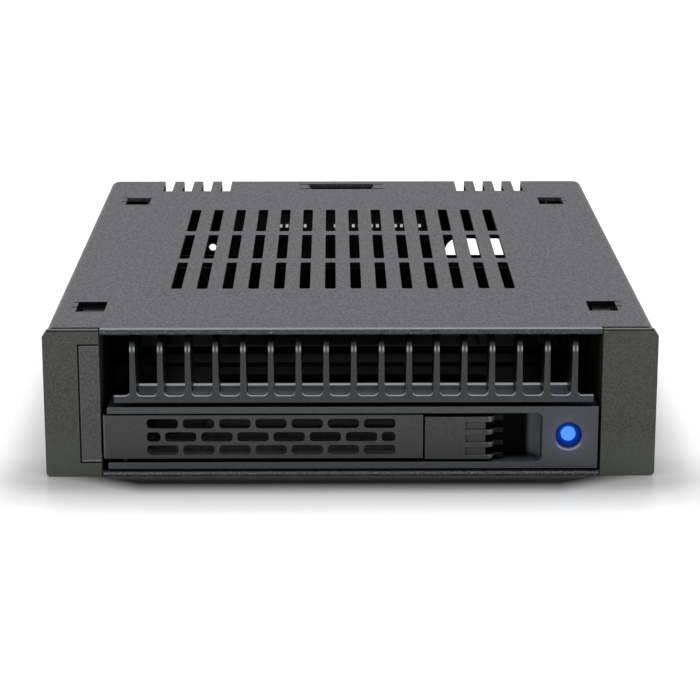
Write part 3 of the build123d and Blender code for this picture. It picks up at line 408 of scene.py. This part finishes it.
def powder_paint(name, base):
    """Fine powder coat on sheet metal: coarse on the front's cut edge, with a painted highlight along the top's
    front lip and on the pan's edge, and painted shade inside and in the vents.
    """
    recipe = Recipe(name, base, 0.5)
    grain = recipe.noise(0.46 * MM, roughness=0.6, places=recipe.stretched((1.0, 0.55, 1.0)))
    recipe.skin = recipe.blend_colours(recipe.above(grain, 0.40, 0.60), shaded(base, 0.75), shaded(base, 1.25))
    recipe.cloud(14 * MM, 0.10, shaded(base, 1.3), detail=1.0)

    # Painted highlight along the top's front lip, on the faces there that look up
    lip_highlight = recipe.both(
        recipe.before(*LIP_DEPTH),
        recipe.looks_up(0.3, 0.6),
        recipe.above(recipe.z, HIGH.z - LIP_INSET[0], HIGH.z - LIP_INSET[1]),
    )
    recipe.tint(lip_highlight, LIP_HIGHLIGHT)
    faces_front = recipe.below(recipe.facing_y, -0.8, -0.62)
    recipe.tint(faces_front, cut_edge(recipe))
    # The pan's front cut edge: speckled, and painted lighter on its upper half as a painted highlight, its lower
    # half left dark
    flecks = recipe.noise(0.22 * MM, detail=3.0, roughness=0.6)
    speckled_edge_highlight = recipe.blend_colours(recipe.above(flecks, 0.42, 0.66), *PAN_EDGE_SPECKLED_HIGHLIGHT)
    low, high = PAN_EDGE_HEIGHTS
    pan_edge = recipe.between(recipe.z, LOW.z + low, LOW.z + high, 0.1 * MM)
    recipe.tint(recipe.both(faces_front, pan_edge), speckled_edge_highlight)

    # Painted shade on the upright walls inside the case and in the vents, and on every inner face between the two
    # sheets
    upright = recipe.below(recipe.maths("ABSOLUTE", recipe.facing_z), 0.2, 0.5)
    inside_walls = recipe.both(
        recipe.between(recipe.x, LOW.x + WALL_INSET, HIGH.x - WALL_INSET, 0.05 * MM),
        recipe.between(recipe.y, LOW.y + WALL_INSET, HIGH.y - SHEET_INSET, 0.02 * MM),
    )
    before_rear = recipe.below(recipe.y, HIGH.y - REAR_INSET[0], HIGH.y - REAR_INSET[1])
    recipe.shadow(recipe.both(upright, inside_walls, before_rear), CASE_SHADE)
    between_sheets = recipe.between(recipe.z, LOW.z + SHEET_INSET, HIGH.z - SHEET_INSET, 0.01 * MM)
    recipe.shadow(recipe.both(inside_walls, between_sheets))
    recipe.wire(recipe.ranged(grain, 0.3, 0.7, 0.62, 0.42), "Roughness")
    recipe.bump(grain, 0.045 * MM, 0.5)
    return recipe.finished()


def moulded_plastic(
    name, base, roughness, grain_size, depth, contrast, rim_highlight=3.0, hollow=3.0 * MM, sheen=0.5, alone=False, foot=1.0
):
    """Moulded plastic: an eroded grain, a painted highlight on its rims, painted light on its lowest part and
    painted shade in its crevices.

    depth is the height of the grain's relief and contrast its strength in the colour. rim_highlight and foot are
    how much brighter the painted highlight makes the edges and the painted light makes the lowest part. hollow is
    how narrow a crevice must be to get painted shade, and alone leaves the pieces beside it out of that. sheen is
    how strongly the surface reflects.
    """
    recipe = Recipe(name, base, roughness)
    grain = recipe.noise(grain_size, roughness=0.6)
    low, high = shaded(base, 1.0 - contrast), shaded(base, 1.0 + contrast)
    recipe.skin = recipe.blend_colours(recipe.above(grain, 0.38, 0.62), low, high)
    recipe.cloud(9 * MM, 0.12, shaded(base, 1.3))
    # Painted light: the lowest part is made brighter by foot
    recipe.tint(recipe.below(recipe.z, 0.5 * MM, 9 * MM, 0.8), shaded(base, foot))
    # Painted highlight on the edges that face forward, strongest where they also face up
    edge = recipe.between(recipe.facing_y, -0.93, -0.25, 0.04)
    upward = recipe.ranged(recipe.facing_z, -0.3, 0.5, 0.25, 1.0)
    recipe.tint(recipe.both(edge, upward), shaded(base, rim_highlight))
    recipe.shadow(recipe.crevices(hollow, alone))
    recipe.shader.inputs["Specular IOR Level"].default_value = sheen
    recipe.wire(recipe.ranged(grain, 0.3, 0.7, roughness + 0.06, roughness - 0.06), "Roughness")
    recipe.bump(grain, depth, 0.5)
    return recipe


def ring_glow(recipe, centre, tone):
    """Paints a glowing ring around the lens and a faint glowing halo on the plastic beyond it, with the ring
    painted dark under its glow and a painted highlight on the lower arc of its rim.
    """
    across = recipe.maths("SUBTRACT", recipe.x, centre.x)
    up = recipe.maths("SUBTRACT", recipe.z, centre.z)
    radius = recipe.length_of(across, up)
    ring = recipe.between(radius, 0.0, RING_RADIUS, 0.35 * MM)
    recipe.shadow(ring)
    halo = recipe.below(radius, *HALO_RADIUS, most=0.11)
    glow = recipe.blend_colours(recipe.both(halo, halo), BLACK, HALO)
    glow = recipe.blend_colours(ring, glow, shaded(tone, 0.25))
    near_lens = recipe.between(radius, 0.0, LENS_GLOW_RADIUS, 0.8 * MM)
    glow = recipe.blend_colours(near_lens, glow, shaded(tone, 1.6))
    recipe.glow(recipe.blend_colours(recipe.before(*RING_DEPTH), BLACK, glow))
    # Painted highlight on the lower arc of the rim
    arc_highlight = recipe.both(recipe.between(radius, *ARC_RADII, 0.08 * MM), recipe.below(up, *ARC_HEIGHT))
    recipe.tint(arc_highlight, RING_ARC_HIGHLIGHT)


def bare_metal(name, base, roughness, metallic=1.0, glint=0.0):
    """Drawn or plated metal with fine streaks. glint is a faint light of its own."""
    recipe = Recipe(name, base, roughness)
    recipe.shader.inputs["Metallic"].default_value = metallic
    recipe.shader.inputs["Emission Color"].default_value = (*base, 1.0)
    recipe.shader.inputs["Emission Strength"].default_value = glint
    streaks = recipe.noise(0.2 * MM, detail=3.0)
    recipe.skin = recipe.blend_colours(streaks, shaded(base, 0.8), shaded(base, 1.1))
    recipe.wire(recipe.ranged(streaks, 0.3, 0.7, roughness - 0.08, roughness + 0.08), "Roughness")
    return recipe.finished()


def laminate(name, base):
    """Circuit board with its woven glass under the mask."""
    recipe = Recipe(name, base, 0.4)
    squares = {"Vector": recipe.places, "Scale": 1.0 / (0.6 * MM)}
    weave = recipe.node("ShaderNodeTexChecker", squares).outputs["Fac"]
    soft_weave = recipe.ranged(weave, 0.0, 1.0, 0.3, 0.7)
    recipe.skin = recipe.blend_colours(soft_weave, shaded(base, 0.85), shaded(base, 1.15))
    recipe.tint(recipe.above(recipe.noise(2 * MM), 0.4, 0.6, 0.3), shaded(base, 1.5))
    recipe.bump(weave, 0.01 * MM, 0.3)
    return recipe.finished()


def lit_lens(name, base, front):
    """Lens with light behind it, and the dark rod that carries the light."""
    recipe = Recipe(name, base, 0.25)
    ripple = recipe.noise(0.3 * MM, detail=1.0)
    lit = recipe.below(recipe.y, front + LIT_DEPTH, front + LIT_DEPTH + LIT_EDGE)
    glow = recipe.blend_colours(ripple, shaded(base, 0.92), base)
    recipe.skin = recipe.blend_colours(lit, DARK, shaded(base, 0.2))
    recipe.glow(recipe.blend_colours(lit, BLACK, glow))
    return recipe.finished()


def finish_node(name, material, edge=0.0):
    """Gives a node its finish, and rounds its sharp edges."""
    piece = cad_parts[name]
    piece.data.materials.clear()
    piece.data.materials.append(material)
    if edge:
        weld = piece.modifiers.new("join_faces", "WELD")
        weld.merge_threshold = MERGE_DISTANCE
        flat = piece.modifiers.new("flat_faces", "DECIMATE")
        flat.decimate_type = "DISSOLVE"
        flat.angle_limit = FLAT_ANGLE
        rounding = piece.modifiers.new("edge_rounding", "BEVEL")
        rounding.width = edge
        rounding.segments = ROUNDING_STEPS
        rounding.limit_method = "ANGLE"
        rounding.angle_limit = SHARP_ANGLE
        rounding.use_clamp_overlap = True
        smooth = piece.modifiers.new("shading", "WEIGHTED_NORMAL")
        smooth.weight = NORMAL_WEIGHT
    return piece


def settings():
    """The three groups of settings: studio, finishes and details."""
    scene = bpy.context.scene
    return scene.drive_cage_studio, scene.drive_cage_finishes, scene.drive_cage_details


def softbox(name, place, target, size, power):
    """Rectangular area light that looks at a target."""
    lamp = bpy.data.lights.new(name, "AREA")
    lamp.shape = "RECTANGLE"
    lamp.size, lamp.size_y = size
    lamp.energy = power
    box = bpy.data.objects.new(name, lamp)
    box.location = place
    box.rotation_euler = (Vector(target) - Vector(place)).to_track_quat("-Z", "Y").to_euler()
    bpy.context.scene.collection.objects.link(box)


def white_room(studio):
    """World that is white near the horizon and dimmer above."""
    world = bpy.data.worlds.new("white_room")
    world.use_nodes = True
    nodes, links = world.node_tree.nodes, world.node_tree.links
    direction = nodes.new("ShaderNodeTexCoord").outputs["Generated"]
    height = nodes.new("ShaderNodeSeparateXYZ")
    links.new(direction, height.inputs[0])
    fade = nodes.new("ShaderNodeMapRange")
    values = (*WALL_HEIGHT, studio.horizon_light, studio.room_light)
    for socket, value in zip(("From Min", "From Max", "To Min", "To Max"), values):
        fade.inputs[socket].default_value = value
    links.new(height.outputs["Z"], fade.inputs["Value"])
    background = nodes["Background"]
    background.inputs["Color"].default_value = (1, 1, 1, 1)
    links.new(fade.outputs["Result"], background.inputs["Strength"])
    return world


def floor_finish(base):
    """White floor with a narrow painted shadow along the cage's foot, which tapers under the ears."""
    surface = Recipe("floor_white", base, 0.32)
    surface.skin = surface.blend_colours(surface.noise(FLOOR_CLOUD), shaded(base, 0.99), base)
    from_middle, gaps = [], []
    for place, near, far in ((surface.x, LOW.x, HIGH.x), (surface.y, LOW.y, HIGH.y)):
        offset = surface.maths("ABSOLUTE", surface.maths("SUBTRACT", place, (near + far) / 2))
        from_middle.append(offset)
        gaps.append(surface.maths("MAXIMUM", surface.maths("SUBTRACT", offset, (far - near) / 2), 0.0))
    distance = surface.length_of(*gaps)
    in_front = surface.ranged(surface.y, LOW.y + SHADOW_FRONT[0], LOW.y + SHADOW_FRONT[1], 1.0, 0.25)
    taper = surface.above(from_middle[0], HIGH.x - TAPER_INSET[0], HIGH.x - TAPER_INSET[1], TAPER)
    below_pan = surface.below(surface.maths("ADD", distance, taper), *SHADOW_REACH, 0.98)
    all_round = surface.below(distance, *SHADOW_REACH, 0.20)
    surface.tint(surface.both(in_front, surface.below(distance, *WIDE_SHADOW_REACH, 0.36)), DARK)
    surface.shadow(surface.either(surface.both(in_front, below_pan), all_round))
    clear_of_cage = surface.either(
        surface.above(distance, *GLOW_DISTANCE), surface.above(gaps[0], *GLOW_BESIDE)
    )
    glow = surface.both(clear_of_cage, surface.ranged(distance, *FAR_GLOW_DISTANCE, 1.0, FAR_GLOW))
    surface.glow(surface.joined(glow, glow, glow), FLOOR_GLOW)
    return surface.finished()


class DRIVECAGE_OT_studio(bpy.types.Operator):
    """Set up the floor, the lights and the camera"""

    bl_idname = "drive_cage.studio"
    bl_label = "Studio"

    def execute(self, context):
        studio, _, _ = settings()
        corners = [(x * FLOOR_REACH, y * FLOOR_REACH, 0) for x, y in ((-1, -1), (1, -1), (1, 1), (-1, 1))]
        mesh = bpy.data.meshes.new("studio_floor")
        mesh.from_pydata(corners, [], [(0, 1, 2, 3)])
        floor = bpy.data.objects.new("studio_floor", mesh)
        context.scene.collection.objects.link(floor)
        floor.data.materials.append(floor_finish(studio.floor_colour))

        context.scene.world = white_room(studio)
        softbox("key_light", KEY_PLACE, KEY_AIM, KEY_SIZE, studio.key_power)
        for side in (-1, 1):
            place = (side * FILL_PLACE[0], *FILL_PLACE[1:])
            softbox("fill_light", place, FILL_AIM, FILL_SIZE, studio.fill_power)

        camera = bpy.data.objects.new("camera", bpy.data.cameras.new("camera"))
        context.scene.collection.objects.link(camera)
        ahead = Vector((
            sin(studio.turn) * cos(studio.tilt),
            cos(studio.turn) * cos(studio.tilt),
            -sin(studio.tilt),
        ))
        right = Vector((cos(studio.turn), -sin(studio.turn), 0))
        axes = Matrix((right, right.cross(ahead), -ahead)).transposed()
        camera.matrix_world = Matrix.Translation(studio.eye) @ axes.to_4x4()
        camera.data.lens = studio.lens
        camera.data.sensor_width = SENSOR_WIDTH
        camera.data.clip_start = NEAREST_SEEN
        context.scene.camera = camera
        context.scene.view_settings.view_transform = "Standard"
        return {"FINISHED"}


class DRIVECAGE_OT_sheet_metal(bpy.types.Operator):
    """Paint the cover and the pan"""

    bl_idname = "drive_cage.sheet_metal"
    bl_label = "Cover and Pan"

    def execute(self, context):
        _, finishes, details = settings()
        paint = powder_paint("case_paint", finishes.cover_paint)
        for name in ("top_cover", "bottom_pan"):
            finish_node(name, paint, details.sheet_edge)
        return {"FINISHED"}


class DRIVECAGE_OT_ears(bpy.types.Operator):
    """Finish the two ears and the strip in the left one"""

    bl_idname = "drive_cage.ears"
    bl_label = "Ears"

    def execute(self, context):
        _, finishes, details = settings()
        ear = moulded_plastic("ear_plastic", finishes.ear_plastic, **PLASTICS["ear_plastic"])
        # Painted highlight on the faces at the ears' top front that look up
        top_highlight = ear.both(
            ear.looks_up(0.6, 0.9),
            ear.above(ear.z, HIGH.z - EAR_LINE_INSET[0], HIGH.z - EAR_LINE_INSET[1]),
            ear.before(*EAR_LINE_DEPTH),
        )
        ear.tint(top_highlight, EAR_TOP_HIGHLIGHT)
        plastic = ear.finished()
        for name in ("left_bezel", "right_bezel"):
            finish_node(name, plastic, details.moulded_edge)

        strip = moulded_plastic("strip_plastic", finishes.insert_plastic, **PLASTICS["strip_plastic"])
        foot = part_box("bezel_insert")[0][2]
        # Painted highlight: a speckled light line just above the strip's foot
        flecks = strip.ranged(strip.noise(0.30 * MM), 0.40, 0.60, 0.2, 1.0)
        foot_highlight = strip.below(strip.z, foot + STRIP_LINE_HEIGHT[0], foot + STRIP_LINE_HEIGHT[1])
        strip.tint(strip.both(flecks, foot_highlight), STRIP_FOOT_HIGHLIGHT)
        finish_node("bezel_insert", strip.finished(), details.moulded_edge)
        return {"FINISHED"}


class DRIVECAGE_OT_grille(bpy.types.Operator):
    """Finish the finned grille"""

    bl_idname = "drive_cage.grille"
    bl_label = "Finned Grille"

    def execute(self, context):
        _, finishes, details = settings()
        grille = moulded_plastic("grille_plastic", finishes.grille_plastic, **PLASTICS["grille_plastic"])
        # Painted light on the grille's floor and lip faces behind the fins
        up_or_front = grille.either(grille.facing_z, grille.maths("MULTIPLY", grille.facing_y, -1.0))
        floor = grille.both(
            grille.behind(*FLOOR_DEPTH),
            grille.below(grille.z, *FLOOR_HEIGHT),
            grille.above(up_or_front, 0.5, 0.7),
        )
        grille.tint(floor, GRILLE_FLOOR_PAINTED_LIGHT)
        # Painted highlight on the ledge's top, with a faint glow of its own added to it
        ledge_highlight = grille.both(floor, grille.above(grille.z, *LEDGE_HEIGHT))
        grille.tint(ledge_highlight, GRILLE_LEDGE_HIGHLIGHT)
        grille.glow(grille.blend_colours(ledge_highlight, BLACK, GRILLE_LEDGE_HIGHLIGHT_GLOW))
        # Painted highlight on the bar's top front edge between the fins
        brow_highlight = grille.both(
            grille.before(*BROW_DEPTH), grille.looks_up(0.2, 0.45), grille.below(grille.z, *BROW_HEIGHT)
        )
        grille.tint(brow_highlight, GRILLE_BROW_HIGHLIGHT)
        grille.shadow(grille.above(grille.z, *GRILLE_SHADE_HEIGHT))
        # Painted highlight on the fins' noses: twin light lines at each fin's sides
        from_fin = grille.maths("PINGPONG", grille.maths("SUBTRACT", grille.x, FIRST_FIN), FIN_PITCH / 2)
        nose_highlight = grille.both(
            grille.between(grille.z, *NOSE_HEIGHTS, 0.5 * MM),
            grille.ranged(from_fin, *NOSE_SIDE, 0.12, 1.0),
            grille.before(*NOSE_DEPTH),
        )
        grille.tint(nose_highlight, FIN_NOSE_HIGHLIGHT)
        finish_node("fin_grille", grille.finished(), details.moulded_edge)
        return {"FINISHED"}


class DRIVECAGE_OT_tray(bpy.types.Operator):
    """Finish the tray's front and frame, the lever's pin and the latch's spring"""

    bl_idname = "drive_cage.tray"
    bl_label = "Tray"

    def execute(self, context):
        _, finishes, details = settings()
        bezel = moulded_plastic("tray_plastic", finishes.tray_plastic, **PLASTICS["tray_plastic"])
        mid_height = bezel.both(
            bezel.ranged(bezel.z, *MIDDLE_FROM, 0.45, 1.0), bezel.ranged(bezel.z, *MIDDLE_TO, 1.0, 0.45)
        )
        unlit = bezel.both(
            bezel.behind(*POCKET_DEPTH),
            bezel.between(bezel.z, *POCKET_HEIGHTS, 0.1 * MM),
            bezel.either(bezel.above(bezel.x, *BESIDE_LEVER), mid_height),
            bezel.below(bezel.x, *POCKET_END),
        )
        bezel.shadow(unlit)
        glint = bezel.both(
            bezel.between(bezel.x, *GLINT_SIDES, 0.4 * MM),
            bezel.between(bezel.z, *GLINT_HEIGHTS, 0.1 * MM),
            bezel.looks_up(0.3, 0.6),
            bezel.behind(*GLINT_DEPTH),
        )
        bezel.tint(glint, POCKET_GLINT)
        low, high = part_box("light_pipe")
        ring_glow(bezel, (Vector(low) + Vector(high)) / 2, finishes.ring_colour)
        finish_node("tray_bezel", bezel.finished(), details.fine_edge)

        inner = moulded_plastic("tray_frame_plastic", finishes.inner_plastic, **PLASTICS["tray_frame_plastic"])
        finish_node("tray_frame", inner.finished(), details.fine_edge)
        steel = bare_metal("pin_steel", **METALS["pin_steel"])
        for name in ("lever_pin", "latch_spring"):
            finish_node(name, steel)
        return {"FINISHED"}


class DRIVECAGE_OT_lever_and_latch(bpy.types.Operator):
    """Finish the vented lever and the latch"""

    bl_idname = "drive_cage.lever_and_latch"
    bl_label = "Lever and Latch"

    def execute(self, context):
        _, finishes, details = settings()
        lever = moulded_plastic("lever_plastic", finishes.lever_plastic, **PLASTICS["lever_plastic"])
        # Painted light on the lever's low ledges, seen through the bottom row of slots
        lit_low_ledge = lever.both(
            lever.behind(*SLOT_LEDGE_DEPTH),
            lever.below(lever.z, *SLOT_LEDGE_HEIGHT),
            lever.looks_up(0.5, 0.7),
        )
        lever.tint(lit_low_ledge, SLOT_LEDGE_PAINTED_LIGHT)
        finish_node("ejector_lever", lever.finished(), details.fine_edge)

        latch = moulded_plastic("latch_plastic", finishes.latch_plastic, **PLASTICS["latch_plastic"])
        latch.shadow(latch.above(latch.x, *LATCH_SHADE_FROM, 0.85))
        finish_node("release_latch", latch.finished(), details.fine_edge)
        return {"FINISHED"}


class DRIVECAGE_OT_status_light(bpy.types.Operator):
    """Light the lens"""

    bl_idname = "drive_cage.status_light"
    bl_label = "Status Light"

    def execute(self, context):
        _, finishes, _ = settings()
        lens = lit_lens("lens", finishes.light_colour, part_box("light_pipe")[0][1])
        finish_node("light_pipe", lens)
        return {"FINISHED"}


class DRIVECAGE_OT_backplane(bpy.types.Operator):
    """Finish the board, its connectors and small parts"""

    bl_idname = "drive_cage.backplane"
    bl_label = "Backplane"

    def execute(self, context):
        finish_node("backplane_board", laminate("board_laminate", BOARD_MASK))
        shell = moulded_plastic("connector_plastic", CONNECTOR_BLACK, **PLASTICS["connector_plastic"]).finished()
        for name in ("drive_connector", "power_connector", "data_connector"):
            finish_node(name, shell, CONNECTOR_EDGE)
        finish_node("solder_pins", bare_metal("solder", **METALS["solder"]))
        finish_node("board_led", bare_metal("led_chip", **METALS["led_chip"]))
        can = bare_metal("can_metal", **METALS["can_metal"])
        finish_node("board_capacitors", can, CAN_EDGE)
        return {"FINISHED"}


class DRIVECAGE_OT_rails(bpy.types.Operator):
    """Finish the guide rails and the cross braces"""

    bl_idname = "drive_cage.rails"
    bl_label = "Rails and Braces"

    def execute(self, context):
        _, finishes, details = settings()
        inner = moulded_plastic("inner_plastic", finishes.inner_plastic, **PLASTICS["inner_plastic"]).finished()
        for name in ("left_guide_rail", "right_guide_rail"):
            finish_node(name, inner, details.fine_edge)
        # Painted shade: the plated braces are set near black for the dark inside of the cage
        plate = moulded_plastic("plated_sheet", BRACE_PAINTED_SHADE, **PLASTICS["plated_sheet"]).finished()
        for name in ("front_brace", "rear_brace"):
            finish_node(name, plate, details.fine_edge)
        return {"FINISHED"}


class DRIVECAGE_OT_fasteners(bpy.types.Operator):
    """Finish the screws"""

    bl_idname = "drive_cage.fasteners"
    bl_label = "Fasteners"

    def execute(self, context):
        black = bare_metal("black_screws", **METALS["black_screws"])
        for name in ("board_screws", "rail_screws", "brace_screws", "cover_screws", "tray_screws"):
            finish_node(name, black)
        return {"FINISHED"}


OPERATORS = (
    DRIVECAGE_OT_studio,
    DRIVECAGE_OT_sheet_metal,
    DRIVECAGE_OT_ears,
    DRIVECAGE_OT_grille,
    DRIVECAGE_OT_tray,
    DRIVECAGE_OT_lever_and_latch,
    DRIVECAGE_OT_status_light,
    DRIVECAGE_OT_backplane,
    DRIVECAGE_OT_rails,
    DRIVECAGE_OT_fasteners,
)


class DRIVECAGE_PT_sidebar(bpy.types.Panel):
    """Buttons for the cage's pieces, and their settings"""

    bl_idname = "DRIVECAGE_PT_sidebar"
    bl_label = "Drive Cage"
    bl_space_type = "VIEW_3D"
    bl_region_type = "UI"
    bl_category = "Drive Cage"

    def draw(self, context):
        for operator in OPERATORS:
            self.layout.operator(operator.bl_idname)
        for group in settings():
            column = self.layout.column()
            for name in group.bl_rna.properties.keys():
                if name not in ("rna_type", "name"):
                    column.prop(group, name)


GROUPS = {
    "drive_cage_studio": DriveCageStudioSettings,
    "drive_cage_finishes": DriveCageFinishSettings,
    "drive_cage_details": DriveCageDetailSettings,
}


def register():
    """Adds the classes and the scene's settings."""
    for cls in (*GROUPS.values(), *OPERATORS, DRIVECAGE_PT_sidebar):
        bpy.utils.register_class(cls)
    for name, group in GROUPS.items():
        setattr(bpy.types.Scene, name, PointerProperty(type=group))


def unregister():
    """Takes them away again."""
    for name in GROUPS:
        delattr(bpy.types.Scene, name)
    for cls in (DRIVECAGE_PT_sidebar, *reversed(OPERATORS), *GROUPS.values()):
        bpy.utils.unregister_class(cls)


def main():
    """Builds everything."""
    register()
    for operator in OPERATORS:
        group, name = operator.bl_idname.split(".")
        getattr(getattr(bpy.ops, group), name)()


if __name__ == "__main__":
    main()
